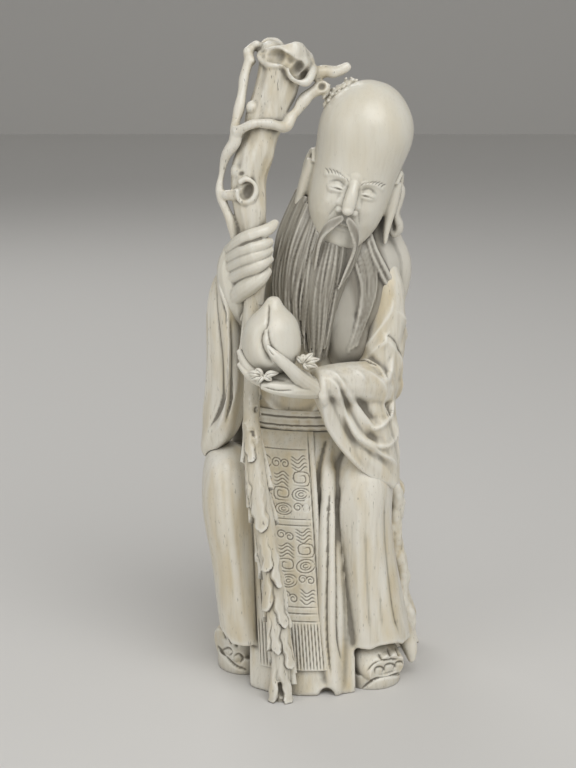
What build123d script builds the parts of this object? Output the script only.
"""Seated sage okimono: a bone carving made in sections that are pegged and glued together.

Millimetres. The figure faces -Y, +X is the viewer's right and +Z is up. The origin is on the table, in the
middle of the underside. "Right" and "left" are the figure's own, so the right hand with the staff is on the
-X side.

A form is a short list of level ovals. A row gives an oval's centre (x, y, z) as shares of the form's reach,
and its half width and half depth as shares of the form's girth, so a form keeps its look when a size changes.
"""

from build123d import *

import os
from math import cos, pi, radians, sin

import numpy as np
from scipy.interpolate import PchipInterpolator

# Skirt of the robe, the block that stands on the table
skirt_height = 103.0
skirt_y = -7.0
hem_half_width = 36.0
hem_half_depth = 33.0
fold_depth = 0.035

# Legs under the robe
leg_y = -19.5
knee_half_depth = 15.0
knee_drop = 5.5
right_knee_x = -33.8
right_knee_half_width = 10.0
left_knee_x = 20.3
left_knee_half_width = 12.5

# Marrow hollow of the bone, and the plug that closes it at the underside
hollow_radius = 10.0
hollow_depth = 46.0
plug_thickness = 5.0
plug_step = 2.5
plug_spigot = 4.0

# Apron panel that hangs from the sash, over the lap
panel_x = -10.3
panel_half_width = 13.6
panel_lean = 6.0
panel_thickness = 1.8
panel_bottom = 10.5

# Torso, neck and sash
torso_height = 73.0
torso_half_width = 28.5
torso_half_depth = 19.0
torso_y = 2.0
neck_radius = 9.5
sash_height = 8.0
sash_thickness = 2.2

# Head, with its axis leaning to the viewer's right
head_length = 63.0
head_half_width = 17.9
head_half_depth = 18.7
head_lean = 15.0
chin_x = 8.2
chin_y = -17.0
nose_length = 12.0
ear_length = 25.0
ear_radius = 3.4

# Beard, and the hair that falls over the shoulders
beard_x = 5.0
beard_length = 55.0
beard_half_width = 17.0
beard_half_depth = 7.5
hair_half_width = 25.0
hair_half_depth = 18.0
hair_length = 36.0

# Sleeves
shoulder_radius = 11.0
right_drape_length = 74.0
right_drape_half_width = 8.0
right_drape_half_depth = 15.0
left_drape_length = 48.0
left_drape_half_width = 16.0
left_drape_half_depth = 12.0
forearm_radius = 8.0
sleeve_fold_radius = 1.8

# Hands
finger_radius = 2.7
finger_pitch = 5.4
palm_half_width = 6.5
palm_half_depth = 4.6

# Staff: a gnarled root with a hollow crown
staff_foot_x = -12.0
staff_foot_y = -42.0
staff_grip_x = -22.0
staff_grip_y = -29.0
staff_radius = 4.3
grip_drop = 7.5
crown_height = 81.5
crown_lean_x = 11.7
crown_lean_y = 13.5
crown_half_width = 12.5
crown_half_depth = 9.0
crown_wall = 2.6
mouth_depth = 15.0
mouth_slant = 22.0
vine_radius = 2.0
branch_length = 18.0

# Sprig at the end of the branch
sprig_radius = 2.6

# Peach and its leaves
peach_height = 28.5
peach_half_width = 11.0
peach_half_depth = 10.5
palm_rise = 29.5
leaf_length = 15.0
leaf_half_width = 3.6
leaf_thickness = 2.0

# Rock seat behind the skirt
rock_height = 78.0
rock_half_width = 39.0
rock_half_depth = 20.0
rock_x = 5.0
rock_fold = 0.03
knob_radius = 7.0
knob_rise = 2.2
knob_count = 14

# Shoes
shoe_length = 19.0
shoe_half_width = 10.5
shoe_height = 16.5
sole_thickness = 4.6
sole_rim = 0.9
left_toe_x = 30.0
left_toe_y = -31.0
left_shoe_turn = 34.0
right_toe_x = -33.0
right_toe_y = -13.0
right_shoe_turn = -62.0

# Room under the hem that shows each shoe: its height, and its corners from above
hem_rise = 17.0
left_room = [(17.5, -60), (17.5, -35), (15, -22), (26, -12), (37, -19), (60, -24), (60, -60)]
right_room = [(-25, -60), (-25, -20), (-20.5, -5), (-30, 6), (-60, 6), (-60, -60)]

# Pegs, and the film of glue around them
dowel_radius = 2.5
dowel_length = 20.0
neck_peg_radius = 3.0
neck_peg_length = 18.0
peg_radius = 1.6
peg_length = 10.0
glue_film = 0.05

# How finely a form is drawn
oval_points = 12
form_levels = 9

# Places that follow from those sizes
waist_z = skirt_height
knee_height = skirt_height - knee_drop
neck_z = waist_z + torso_height
grip_z = neck_z - grip_drop
palm_z = waist_z + palm_rise
peach_x = staff_grip_x + 6.2
peach_y = staff_grip_y - staff_radius - 0.8 * peach_half_depth
head_size = (head_half_width, head_half_depth, head_length)
torso_place = (0, torso_y, waist_z)
torso_reach = (torso_half_width, torso_half_depth, torso_height)
lean = radians(head_lean)


def spread(rows):
    """Rows set evenly along a form, on a curve that never swings past the rows it goes through."""
    table = np.array(rows, float)
    steps = np.linalg.norm(np.diff(table, axis=0), axis=1)
    run = np.concatenate([[0], np.cumsum(steps)])
    return PchipInterpolator(run, table)(np.linspace(0, run[-1], form_levels))


def oval(half_width, half_depth, folds=0, depth=0.0):
    """A closed flat outline about the origin: an ellipse, or one with a number of soft folds."""
    count = max(oval_points, 4 * folds)
    points = []
    for angle in [2 * pi * i / count for i in range(count)]:
        swell = 1 + depth * cos(folds * angle)
        points.append((half_width * swell * cos(angle), half_depth * swell * sin(angle)))
    return Wire([Spline(*points, periodic=True)])


def form(place, reach, girth, rows, folds=0, depth=0.0):
    """A solid through level ovals. Folds are deepest at its lowest row."""
    table = []
    for x, y, z, width, across in rows:
        centre = [place[i] + share * reach[i] for i, share in enumerate((x, y, z))]
        table.append((*centre, width * girth[0], across * girth[1]))
    levels = spread(table)
    low, high = levels[:, 2].min(), levels[:, 2].max()
    wires = []
    for x, y, z, half_width, half_depth in levels:
        outline = oval(half_width, half_depth, folds, depth * (high - z) / (high - low))
        wires.append(outline.moved(Location((x, y, z))))
    return Solid.make_loft(wires)


def edge(place, reach, girth, rows, angle):
    """Points down the outside of a form, at one angle round its ovals."""
    points = []
    for x, y, z, width, across in rows:
        points.append((
            place[0] + x * reach[0] + width * girth[0] * cos(radians(angle)),
            place[1] + y * reach[1] + across * girth[1] * sin(radians(angle)),
            place[2] + z * reach[2],
        ))
    return points


def limb(rows, across=(0, 1, 0)):
    """A solid through ovals square to a path.

    A row is x, y, z, the radius along across and the other radius.
    """
    levels = spread(rows)
    runs = np.gradient(levels[:, :3], axis=0)
    wires = []
    for (x, y, z, first, second), run in zip(levels, runs):
        plane = Plane(origin=(x, y, z), x_dir=across, z_dir=tuple(run))
        across = plane.x_dir
        wires.append(oval(first, second).moved(Location(plane)))
    return Solid.make_loft(wires)


def whole(shape):
    """The main solid of a shape, without the slivers that a cut can leave."""
    return max(shape.solids(), key=lambda solid: solid.volume)


def cut(piece, *others):
    """A piece without the room that the others take."""
    return whole(piece.cut(*others))


def peg(centre, direction, radius, length):
    """A round peg centred on a joint."""
    return Location(Plane(origin=centre, z_dir=direction)) * Cylinder(radius, length)


def drill(piece, *pegs):
    """Holes for pegs, each with a film of glue all round its peg."""
    for centre, direction, radius, length in pegs:
        piece = piece - peg(centre, direction, radius + glue_film, length + 2 * glue_film)
    return whole(piece)


def skirt_core(grow=0.0):
    """The skirt without its legs, grown sideways by a thickness where something lies on it."""
    girth = (hem_half_width + grow, hem_half_depth + grow)
    reach = (hem_half_width, hem_half_depth, skirt_height)
    return form((0, skirt_y, 0), reach, girth, [
        (0.00, 0.00, 0.00, 1.00, 1.00),
        (0.00, 0.03, 0.12, 0.97, 0.94),
        (0.00, 0.12, 0.50, 0.91, 0.79),
        (-0.03, 0.18, 0.84, 0.91, 0.76),
        (-0.03, 0.27, 1.00, 0.82, 0.60),
    ])


def right_leg():
    girth = (right_knee_half_width, knee_half_depth)
    return form((right_knee_x, leg_y, 0), (*girth, knee_height), girth, [
        (0.65, 0.13, 0.18, 1.00, 0.93),
        (0.25, 0.07, 0.50, 0.90, 0.93),
        (0.00, 0.00, 0.78, 1.00, 1.00),
        (0.00, 0.00, 0.91, 0.95, 0.93),
        (0.00, 0.07, 0.97, 0.70, 0.67),
        (0.00, 0.13, 1.00, 0.30, 0.33),
    ], folds=5, depth=fold_depth)


def left_leg():
    girth = (left_knee_half_width, knee_half_depth)
    return form((left_knee_x, leg_y, 0), (*girth, knee_height), girth, [
        (0.44, 0.00, 0.18, 1.12, 1.07),
        (0.20, 0.00, 0.50, 1.00, 1.00),
        (0.00, 0.00, 0.78, 1.00, 1.00),
        (0.00, 0.05, 0.91, 0.92, 0.90),
        (0.00, 0.13, 0.97, 0.68, 0.67),
        (0.00, 0.20, 1.00, 0.32, 0.33),
    ], folds=6, depth=fold_depth)


def inner_fold():
    """The deep fold of cloth that falls between the legs, down to the hem."""
    girth = (left_knee_half_width / 2, knee_half_depth)
    place = (left_knee_x - left_knee_half_width, leg_y - knee_half_depth / 2, 0)
    return form(place, (*girth, knee_height), girth, [
        (0.10, 0.00, 0.00, 1.04, 0.87),
        (-0.15, 0.20, 0.55, 0.80, 0.67),
        (-0.30, 0.47, 0.91, 0.64, 0.53),
    ])


def plug(grow=0.0):
    """The plug for the marrow hollow: a disc flush with the underside, and a spigot."""
    disc = Pos(0, skirt_y, plug_thickness / 2) * Cylinder(hollow_radius + plug_step + grow, plug_thickness)
    spigot = Pos(0, skirt_y, plug_thickness) * Cylinder(hollow_radius - glue_film + grow, 2 * plug_spigot)
    return disc + spigot


def hollow():
    bore = Pos(0, skirt_y, hollow_depth / 2) * Cylinder(hollow_radius, hollow_depth)
    return bore + plug(glue_film)


def apron_panel():
    """The panel follows the front of the skirt, and leans towards the viewer's right as it goes down."""
    corners = [
        (panel_x - panel_half_width - panel_lean / 2, waist_z),
        (panel_x + panel_half_width - panel_lean / 2, waist_z),
        (panel_x + panel_half_width + panel_lean / 2, panel_bottom),
        (panel_x - panel_half_width + panel_lean / 2, panel_bottom),
    ]
    outline = make_face(Polyline(*corners, close=True))
    front = Plane.XZ * outline
    prism = extrude(front, amount=2 * hem_half_depth)
    return prism & skirt_core(panel_thickness)


def torso_body():
    chest = form(torso_place, torso_reach, torso_reach, [
        (-0.03, 0.00, 0.00, 0.95, 1.00),
        (0.00, 0.00, 0.25, 0.98, 1.02),
        (0.10, 0.00, 0.56, 1.02, 1.00),
        (0.21, 0.05, 0.79, 0.98, 0.92),
        (0.32, 0.10, 0.92, 0.77, 0.74),
        (0.39, 0.10, 1.00, 0.42, 0.53),
    ])
    neck = limb([
        (chin_x + 3.0, torso_y + 2.0, neck_z - neck_radius, neck_radius, neck_radius),
        (chin_x + 3.0, torso_y - 3.0, neck_z, neck_radius, neck_radius),
        (chin_x + 4.0, chin_y + 8.0, neck_z + neck_radius, neck_radius, neck_radius),
    ], across=(1, 0, 0))
    return chest + neck


def sash_ring():
    girth = (torso_half_width + sash_thickness, torso_half_depth + sash_thickness)
    return form(torso_place, (torso_half_width, torso_half_depth, sash_height), girth, [
        (-0.03, 0.00, 0.00, 0.93, 0.97),
        (-0.03, 0.00, 0.30, 0.96, 1.01),
        (-0.02, 0.00, 0.75, 0.97, 1.02),
        (-0.02, 0.00, 1.00, 0.94, 0.98),
    ])


def head_place():
    return Location((chin_x, chin_y, neck_z + 1.0), (0, head_lean, 0))


def head_body():
    """The tall domed head, with its ears and nose, drawn upright on the chin and then leaned."""
    skull = form((0, 0, 0), head_size, head_size, [
        (0.00, -0.30, 0.00, 0.32, 0.26),
        (0.00, -0.15, 0.09, 0.62, 0.55),
        (0.00, 0.00, 0.22, 0.81, 0.80),
        (0.00, 0.05, 0.37, 0.87, 0.93),
        (0.00, 0.05, 0.49, 0.89, 0.96),
        (0.00, 0.03, 0.63, 1.00, 1.00),
        (0.00, 0.00, 0.75, 1.00, 0.98),
        (0.00, 0.00, 0.87, 0.81, 0.80),
        (0.00, 0.00, 0.96, 0.49, 0.49),
        (0.00, 0.00, 1.00, 0.14, 0.13),
    ])
    ear_x, ear_z = 0.93 * head_half_width, 0.46 * head_length
    for side in (-1, 1):
        skull = skull + limb([
            (side * ear_x, 2.0, ear_z, ear_radius, 0.7 * ear_radius),
            (side * (ear_x + 0.5), 2.0, ear_z - 0.3 * ear_length, ear_radius, 0.7 * ear_radius),
            (side * (ear_x + 1.0), 1.5, ear_z - 0.7 * ear_length, 0.7 * ear_radius, 0.5 * ear_radius),
            (side * (ear_x + 2.0), 1.0, ear_z - ear_length, 0.4 * ear_radius, 0.3 * ear_radius),
        ])
    nose_z = 0.42 * head_length
    skull = skull + limb([
        (0, -0.88 * head_half_depth, nose_z, 1.5, 1.6),
        (0, -0.98 * head_half_depth, nose_z - 0.6 * nose_length, 2.4, 2.6),
        (0, -0.90 * head_half_depth, nose_z - nose_length, 2.6, 2.0),
    ], across=(0, 1, 0))
    return whole(head_place() * skull)


def hair_body():
    """Long hair, from behind the head down over the shoulders and the chest."""
    reach = (hair_half_width, hair_half_depth, hair_length)
    return form((chin_x + 3.0, chin_y + 14.0, neck_z), reach, reach, [
        (0.30, 0.10, 1.00, 0.20, 0.25),
        (0.26, 0.10, 0.89, 0.60, 0.65),
        (0.16, 0.10, 0.39, 0.80, 0.83),
        (0.00, -0.08, -0.08, 1.00, 1.00),
        (-0.08, -0.15, -0.58, 0.96, 1.00),
        (-0.16, -0.22, -1.00, 0.72, 0.83),
    ])


def beard_body():
    """The long beard. It falls to the viewer's left of the chest, towards the peach."""
    reach = (beard_half_width, beard_half_depth, beard_length)
    return form((beard_x, chin_y, neck_z + 1.0), reach, reach, [
        (0.18, -1.33, 0.26, 0.53, 0.53),
        (0.12, -1.33, 0.07, 0.76, 0.80),
        (-0.10, -1.20, -0.15, 0.92, 0.95),
        (-0.38, -1.07, -0.45, 0.72, 0.90),
        (-0.40, -0.93, -0.74, 0.52, 0.80),
        (-0.28, -0.80, -0.93, 0.36, 0.60),
        (-0.20, -0.67, -1.00, 0.20, 0.33),
    ])


def right_sleeve_body():
    """The sleeve of the raised arm: the upper arm, and the cloth that hangs from the wrist."""
    girth = (right_drape_half_width, right_drape_half_depth)
    top_x, top_y, top_z = staff_grip_x - 9.5, staff_grip_y + 9.0, grip_z - 2.0
    drape = form((top_x, top_y, top_z), (*girth, right_drape_length), girth, [
        (0.00, 0.00, 0.00, 0.56, 0.47),
        (-0.25, 0.27, -0.17, 0.87, 0.80),
        (-0.25, 0.53, -0.47, 0.94, 1.00),
        (-0.37, 0.53, -0.73, 1.00, 1.00),
        (-0.75, 0.40, -0.89, 0.81, 0.73),
        (-1.12, 0.33, -1.00, 0.31, 0.33),
    ], folds=5, depth=2 * fold_depth)
    drape_y = top_y + 0.5 * right_drape_half_depth
    upper_arm = limb([
        (0.0, torso_y + 2.0, neck_z - 14.0, shoulder_radius, shoulder_radius),
        (-0.5 * torso_half_width, torso_y + 1.0, neck_z - 16.0, shoulder_radius, shoulder_radius),
        (top_x + 3.0, drape_y + 6.0, neck_z - 26.0, shoulder_radius, 0.8 * shoulder_radius),
        (top_x, drape_y, neck_z - 40.0, 0.8 * shoulder_radius, 0.6 * shoulder_radius),
    ], across=(0, 1, 0))
    return drape + upper_arm


def left_sleeve_body():
    """The sleeve of the bent arm: upper arm, forearm, and the wide cloth that hangs below them."""
    girth = (left_drape_half_width, left_drape_half_depth)
    drape_x, drape_y = torso_half_width - 10.5, torso_y - torso_half_depth - 7.0
    place, reach = (drape_x, drape_y, palm_z + 2.0), (*girth, left_drape_length)
    rows = [
        (0.00, 0.00, 0.00, 1.00, 1.00),
        (0.19, 0.00, -0.48, 0.90, 1.00),
        (0.47, 0.17, -0.72, 0.66, 0.92),
        (0.75, 0.33, -0.87, 0.38, 0.67),
        (0.97, 0.50, -1.00, 0.13, 0.33),
    ]
    drape = form(place, reach, girth, rows)
    for angle in (195, 230, 262):
        fold = edge(place, reach, girth, rows, angle)
        rolled = [(*point, sleeve_fold_radius, sleeve_fold_radius) for point in fold]
        drape = drape + limb(rolled, across=(1, 0, 0))
    elbow_x, elbow_y = torso_half_width - 1.0, torso_y - 0.8 * torso_half_depth
    upper_arm = limb([
        (0.4 * torso_half_width, torso_y + 2.0, neck_z - 12.0, shoulder_radius, shoulder_radius),
        (0.85 * torso_half_width, torso_y, neck_z - 20.0, shoulder_radius, shoulder_radius),
        (elbow_x, elbow_y, palm_z - 4.0, 1.1 * shoulder_radius, 0.85 * shoulder_radius),
    ], across=(0, 1, 0))
    forearm = limb([
        (elbow_x + 4.0, elbow_y + 1.0, palm_z + 3.0, 0.7 * shoulder_radius, 0.7 * shoulder_radius),
        (drape_x, drape_y - 3.0, palm_z + 1.0, 0.95 * shoulder_radius, 0.9 * shoulder_radius),
        (drape_x - 0.75 * left_drape_half_width, drape_y - 8.0, palm_z - 1.0, forearm_radius, forearm_radius),
    ], across=(0, 0, 1))
    return drape + upper_arm + forearm


def shaft_body():
    reach = (staff_grip_x - staff_foot_x, staff_grip_y - staff_foot_y, grip_z)
    return form((staff_foot_x, staff_foot_y, 0), reach, (staff_radius, staff_radius), [
        (0.00, 0.00, 0.00, 1.07, 0.84),
        (0.02, 0.00, 0.08, 1.05, 0.88),
        (0.26, 0.08, 0.24, 1.02, 0.88),
        (0.75, 0.19, 0.46, 1.07, 0.93),
        (1.09, 0.46, 0.61, 0.91, 0.84),
        (1.19, 0.69, 0.73, 0.84, 0.79),
        (1.09, 0.88, 0.88, 0.98, 0.93),
        (1.00, 1.00, 1.00, 1.21, 1.16),
    ])


def crown_rows():
    """The crown of the staff, from the grip to the lip, in shares of its lean and height and of its girth."""
    first = 1.21 * staff_radius / crown_half_width
    second = 1.16 * staff_radius / crown_half_depth
    return [
        (0.00, 0.00, 0.00, first, second),
        (-0.04, 0.15, 0.25, 0.48, 0.64),
        (-0.10, 0.33, 0.40, 0.54, 0.71),
        (0.17, 0.59, 0.66, 0.58, 0.76),
        (0.54, 0.81, 0.84, 0.72, 0.89),
        (0.88, 0.96, 0.95, 0.96, 1.00),
        (1.05, 1.05, 1.06, 1.03, 1.00),
    ]


def crown_point(side, front, height):
    """A point beside the crown: side and front are counted in its own half widths at that height."""
    rows = np.array(crown_rows())
    x, y, width, depth = PchipInterpolator(rows[:, 2], rows[:, [0, 1, 3, 4]])(height)
    return (
        staff_grip_x + x * crown_lean_x + side * width * crown_half_width,
        staff_grip_y + y * crown_lean_y - front * depth * crown_half_depth,
        grip_z + height * crown_height,
    )


def vine(points):
    """A tendril that leaves the crown and comes back to it."""
    rows = [(*crown_point(*point), vine_radius, vine_radius) for point in points]
    return limb(rows, across=(0.3, 0.9, 0.2))


def crown_body():
    place = (staff_grip_x, staff_grip_y, grip_z)
    reach = (crown_lean_x, crown_lean_y, crown_height)
    rows = crown_rows()
    crown = form(place, reach, (crown_half_width, crown_half_depth), rows)
    lip = Location(crown_point(0, 0, 1.0), (0, mouth_slant, 0))
    block = 4 * crown_half_width
    crown = crown - lip * Pos(0, 0, block / 2) * Box(block, block, block)
    left_vine = vine([
        (-0.9, 0.1, 0.95), (-1.3, 0.2, 0.88), (-1.5, 0.3, 0.78), (-1.6, 0.3, 0.66), (-1.3, 0.5, 0.59),
    ])
    loop = vine([
        (-1.3, 0.7, 0.60), (-0.7, 1.2, 0.63), (0.0, 1.2, 0.67), (1.0, 1.0, 0.68), (1.5, 0.5, 0.73),
        (1.3, 0.2, 0.82), (0.8, 0.0, 0.89),
    ])
    low_vine = vine([
        (-1.2, 0.7, 0.60), (-1.5, 0.8, 0.52), (-2.0, 0.6, 0.41), (-2.1, 0.3, 0.30), (-1.7, 0.2, 0.19),
        (-0.8, 0.1, 0.11),
    ])
    root = branch_root()
    branch = limb([
        (root[0] - vine_radius, root[1], root[2], 1.3 * vine_radius, 1.3 * vine_radius),
        (root[0] + 0.5 * branch_length, root[1], root[2] + 1.5, 1.1 * vine_radius, 1.1 * vine_radius),
        (root[0] + branch_length, root[1], root[2] + 4.5, 0.5 * vine_radius, 0.5 * vine_radius),
    ], across=(0, 1, 0))
    crown = crown + left_vine + loop + low_vine + branch
    inner = (crown_half_width - crown_wall, crown_half_depth - crown_wall)
    floor = 1.0 - mouth_depth / crown_height
    mouth = form(place, reach, inner, [
        (0.54, 0.81, floor, 0.50, 0.50),
        (0.84, 0.94, floor + 0.4 * (1 - floor), 0.80, 0.90),
        (1.00, 1.00, 1.00, 1.00, 1.00),
        (1.20, 1.10, 1.12, 1.05, 1.00),
    ])
    return whole(crown - mouth)


def branch_root():
    """Where the side branch leaves the crown, below the lip."""
    return crown_point(0.85, 0.0, 0.885)


def sprig_body():
    """A small knobby twig between the branch and the side of the head."""
    root = branch_root()
    start = Vector(root[0] + 0.6 * branch_length, root[1], root[2])
    tip = Vector(chin_x + head_length * sin(lean) * 0.7 - 0.5 * head_half_width,
                 chin_y, neck_z + head_length * cos(lean) * 0.8)
    twig = limb([
        (*start, 0.5 * sprig_radius, 0.5 * sprig_radius),
        (*(start + (tip - start) * 0.5), 0.7 * sprig_radius, 0.7 * sprig_radius),
        (*tip, sprig_radius, sprig_radius),
    ], across=(0, 1, 0))
    for share in (0.35, 0.7, 0.95):
        knob = start + (tip - start) * share
        twig = twig + Pos(knob.X, knob.Y - 0.5 * sprig_radius, knob.Z) * Sphere(sprig_radius)
    return twig


def right_hand_body():
    """The hand round the staff: its back, four fingers that slope up across the front, the thumb behind."""
    x, y = staff_grip_x, staff_grip_y
    gap = 1.2 * staff_radius
    knuckle_x = x - gap - palm_half_depth
    hand = limb([
        (x - 8.0, y + 6.0, grip_z - 26.0, palm_half_depth, palm_half_depth),
        (knuckle_x + 2.0, y + 2.5, grip_z - 13.0, palm_half_width, palm_half_depth),
        (knuckle_x + 1.0, y, grip_z + 2.0, palm_half_width, palm_half_depth),
        (knuckle_x + 2.0, y, grip_z + 8.0, 0.6 * palm_half_width, 0.6 * palm_half_depth),
    ], across=(0, 1, 0))
    for count in range(4):
        z = grip_z - 9.0 + count * finger_pitch
        hand = hand + limb([
            (knuckle_x, y - 2.0, z, finger_radius, finger_radius),
            (x - 0.8 * gap, y - gap - 1.5, z + 2.5, finger_radius, finger_radius),
            (x + 0.2 * gap, y - gap - 2.0, z + 6.0, 0.95 * finger_radius, 0.95 * finger_radius),
            (x + 1.2 * gap, y - 0.8 * gap, z + 9.0, 0.8 * finger_radius, 0.8 * finger_radius),
            (x + 1.4 * gap, y - 0.4 * gap, z + 10.0, 0.4 * finger_radius, 0.4 * finger_radius),
        ], across=(0, 0, 1))
    thumb = limb([
        (knuckle_x + 2.0, y + 2.0, grip_z, finger_radius, finger_radius),
        (x, y + gap + 1.5, grip_z + 6.0, finger_radius, finger_radius),
        (x + gap, y + 0.9 * gap, grip_z + 11.0, 0.7 * finger_radius, 0.7 * finger_radius),
    ], across=(0, 0, 1))
    return hand + thumb


def peach_body():
    reach = (peach_half_width, peach_half_depth, peach_height)
    return form((peach_x, peach_y, palm_z), reach, reach, [
        (-0.02, 0.00, 0.00, 0.35, 0.38),
        (0.00, 0.00, 0.10, 0.75, 0.76),
        (0.00, 0.00, 0.34, 1.00, 1.00),
        (0.00, 0.00, 0.58, 0.95, 0.95),
        (-0.03, 0.00, 0.78, 0.62, 0.62),
        (-0.09, 0.03, 0.92, 0.28, 0.30),
        (-0.12, 0.05, 1.00, 0.10, 0.11),
    ])


def left_hand_body():
    """The hand under the peach: the palm, four fingers that curl up past it, and the thumb in front."""
    low = palm_z - palm_half_depth
    wrist_x = torso_half_width - 10.5 - 0.55 * left_drape_half_width
    wrist_y = torso_y - torso_half_depth - 14.0
    hand = limb([
        (wrist_x, wrist_y, low - 1.0, palm_half_width, palm_half_depth),
        (peach_x + 8.0, peach_y + 1.5, low, 1.2 * palm_half_width, palm_half_depth),
        (peach_x - 1.0, peach_y, low, 1.2 * palm_half_width, 0.9 * palm_half_depth),
        (peach_x - 6.0, peach_y, low + 1.0, palm_half_width, 0.7 * palm_half_depth),
    ], across=(0, 1, 0))
    for count in range(4):
        y = peach_y + (count - 1.5) * 0.8 * finger_pitch
        hand = hand + limb([
            (peach_x - 3.0, y, low, finger_radius, finger_radius),
            (peach_x - 0.8 * peach_half_width, y, low + 1.5, finger_radius, finger_radius),
            (peach_x - 1.1 * peach_half_width, y, low + 6.0, 0.8 * finger_radius, 0.8 * finger_radius),
            (peach_x - 1.1 * peach_half_width, y, low + 10.0, 0.4 * finger_radius, 0.4 * finger_radius),
        ], across=(0, 1, 0))
    thumb = limb([
        (peach_x + 13.0, peach_y - 1.0, low, 1.2 * finger_radius, finger_radius),
        (peach_x + 7.0, peach_y - 0.8 * peach_half_depth, low + 7.0, finger_radius, finger_radius),
        (peach_x, peach_y - peach_half_depth - 1.0, low + 12.0, 0.8 * finger_radius, 0.8 * finger_radius),
        (peach_x - 4.0, peach_y - peach_half_depth, low + 15.0, 0.4 * finger_radius, 0.4 * finger_radius),
    ], across=(0, 1, 0.3))
    return hand + thumb


def leaf(x, y, z, dx, dy, dz):
    """A pointed leaf from its stem end towards its tip."""
    rows = []
    for share, width in ((0.0, 0.35), (0.35, 1.0), (0.7, 0.8), (1.0, 0.12)):
        centre = (x + share * dx * leaf_length, y + share * dy * leaf_length, z + share * dz * leaf_length)
        rows.append((*centre, width * leaf_half_width, 0.5 * leaf_thickness))
    return limb(rows, across=(0.2, 0.3, 1))


def peach_leaves_body():
    """Leaves on the stem of the peach: one lies along the front of the palm and one beside the wrist."""
    x, y, z = peach_x + 0.5 * peach_half_width, peach_y - 0.78 * peach_half_depth, palm_z + 4.0
    stem_leaf = leaf(x, y, z, 0.9, 0.3, 0.2)
    return stem_leaf + leaf(x + 1.0, y - 0.5, z, 0.8, 0.1, 0.6)


def rock_body():
    """A rough rock with knobs over its back and sides."""
    reach = (rock_half_width, rock_half_depth, rock_height)
    place = (rock_x, skirt_y + 0.76 * hem_half_depth, 0)
    rows = [
        (0.00, 0.00, 0.00, 1.00, 1.00),
        (0.00, 0.00, 0.15, 0.98, 1.00),
        (-0.03, 0.00, 0.38, 0.90, 0.90),
        (-0.05, -0.05, 0.68, 0.83, 0.80),
        (-0.03, -0.05, 0.81, 0.87, 0.75),
        (-0.03, -0.10, 0.94, 0.77, 0.60),
        (-0.03, -0.15, 1.00, 0.55, 0.35),
    ]
    rock = form(place, reach, reach, rows, folds=7, depth=rock_fold)
    middle = np.array([place[0], place[1], 0.0])
    for count in range(knob_count):
        angle = 180.0 * (0.618 * count % 1.0)
        height = 0.13 + 0.74 * (count + 0.5) / knob_count
        side = np.array(edge(place, reach, reach, rows, angle))
        skin = PchipInterpolator(side[:, 2], side)(height * rock_height)
        inward = (middle - skin) * (1, 1, 0)
        centre = skin + inward / np.linalg.norm(inward) * (knob_radius - knob_rise)
        rock = rock + Pos(*centre) * Sphere(knob_radius)
    return rock


def shoe_body(toe_x, toe_y, turn):
    """A shoe with a thick sole, from the place of its toe. It points to the front, turned out to its side."""
    upper = limb([
        (0, 0.5 * shoe_length, 0.50 * shoe_height, 0.70 * shoe_half_width, 0.50 * shoe_height),
        (0, 0.0, 0.50 * shoe_height, shoe_half_width, 0.50 * shoe_height),
        (0, -0.3 * shoe_length, 0.42 * shoe_height, 0.95 * shoe_half_width, 0.40 * shoe_height),
        (0, -0.5 * shoe_length, 0.38 * shoe_height, 0.80 * shoe_half_width, 0.30 * shoe_height),
    ], across=(1, 0, 0))
    rim = make_face(oval(shoe_half_width + sole_rim, shoe_length / 2 + sole_rim))
    sole = extrude(rim, amount=sole_thickness)
    floor = Pos(0, 0, -shoe_height) * Box(4 * shoe_half_width, 2 * shoe_length, 2 * shoe_height)
    shoe = whole((upper + sole) - floor)
    x = toe_x - sin(radians(turn)) * shoe_length / 2
    y = toe_y + cos(radians(turn)) * shoe_length / 2
    return Location((x, y, 0), (0, 0, turn)) * shoe


def shoe_room(corners):
    outline = make_face(Polyline(*corners, close=True))
    return extrude(outline, amount=hem_rise)


# Where the pegs go: centre, direction, radius and length
waist_pegs = [((side * 0.42 * torso_half_width, torso_y, waist_z), (0, 0, 1), dowel_radius, dowel_length)
              for side in (-1, 1)]
neck_centre = (chin_x + 4.0, chin_y + 8.0, neck_z + 0.9 * neck_radius)
neck_peg = (neck_centre, (sin(lean), -0.6, cos(lean)), neck_peg_radius, neck_peg_length)
shoulder_z = neck_z - 24.0
shoulder_pegs = [((side * 0.93 * torso_half_width, torso_y, shoulder_z), (1, 0, 0), peg_radius, peg_length)
                 for side in (-1, 1)]
rock_pegs = [((side * 0.4 * hem_half_width, skirt_y + 0.9 * hem_half_depth, 0.4 * rock_height), (0, 1, 0),
              peg_radius, peg_length) for side in (-1, 1)]

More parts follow.
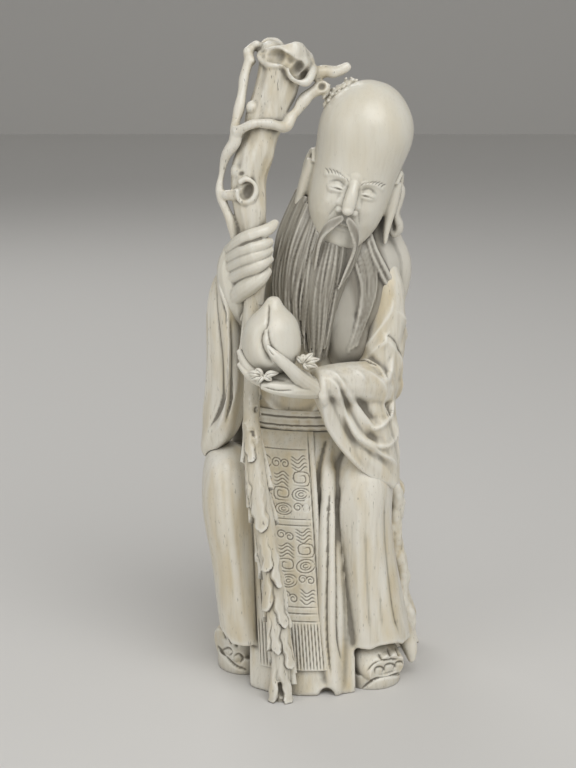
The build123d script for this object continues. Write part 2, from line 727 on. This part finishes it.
# The forms before they are fitted to each other
right_shoe = shoe_body(right_toe_x, right_toe_y, right_shoe_turn)
left_shoe = shoe_body(left_toe_x, left_toe_y, left_shoe_turn)
skirt_form = skirt_core() + right_leg() + left_leg() + inner_fold()
head = head_body()
torso_form = torso_body()
sash_form = sash_ring()
hair_form = hair_body()
shaft_form = shaft_body()
right_sleeve_form = right_sleeve_body()
left_sleeve_form = left_sleeve_body()
peach_form = peach_body()
left_hand_form = left_hand_body()
right_hand_form = right_hand_body()
crown = crown_body()

# Each piece is cut by those that it sits on or against
skirt = cut(skirt_form, shoe_room(right_room), shoe_room(left_room), right_shoe, left_shoe)
torso = cut(torso_form, head)
sash = cut(sash_form, torso_form)
panel = cut(apron_panel(), skirt_form)
rock = cut(rock_body(), skirt_form)
hair = cut(hair_form, head, torso_form)
shaft = cut(shaft_form, skirt_form, panel)
right_sleeve = cut(right_sleeve_form, torso_form, sash_form, skirt_form, hair_form, shaft_form)
left_sleeve = cut(left_sleeve_form, torso_form, sash_form, skirt_form, hair_form)
right_hand = cut(right_hand_form, shaft_form, crown, right_sleeve_form)
peach = cut(peach_form, shaft_form)
left_hand = cut(left_hand_form, peach_form, shaft_form, left_sleeve_form)
leaves = cut(peach_leaves_body(), peach_form, left_hand_form, left_sleeve_form)
beard = cut(beard_body(), head, hair_form, torso_form, left_sleeve_form, left_hand_form)
sprig = cut(sprig_body(), head, crown)

parts = {
    "base_plug": plug(),
    "robe_skirt": drill(skirt - hollow(), *waist_pegs, *rock_pegs),
    "apron_panel": panel,
    "torso": drill(torso, *waist_pegs, *shoulder_pegs, neck_peg),
    "waist_sash": sash,
    "head": drill(head, neck_peg),
    "hair_fall": hair,
    "beard": beard,
    "right_sleeve": drill(right_sleeve, *shoulder_pegs),
    "left_sleeve": drill(left_sleeve, *shoulder_pegs),
    "right_hand": right_hand,
    "left_hand": left_hand,
    "staff_shaft": shaft,
    "staff_crown": crown,
    "staff_sprig": sprig,
    "peach": peach,
    "peach_leaves": leaves,
    "rock_seat": drill(rock, *rock_pegs),
    "right_shoe": right_shoe,
    "left_shoe": left_shoe,
    "neck_peg": peg(*neck_peg),
    "waist_dowels": Compound([peg(*place) for place in waist_pegs]),
    "shoulder_pegs": Compound([peg(*place) for place in shoulder_pegs]),
    "rock_pegs": Compound([peg(*place) for place in rock_pegs]),
}

os.makedirs("parts", exist_ok=True)
for node, solid in parts.items():
    export_step(solid, f"parts/{node}.step")
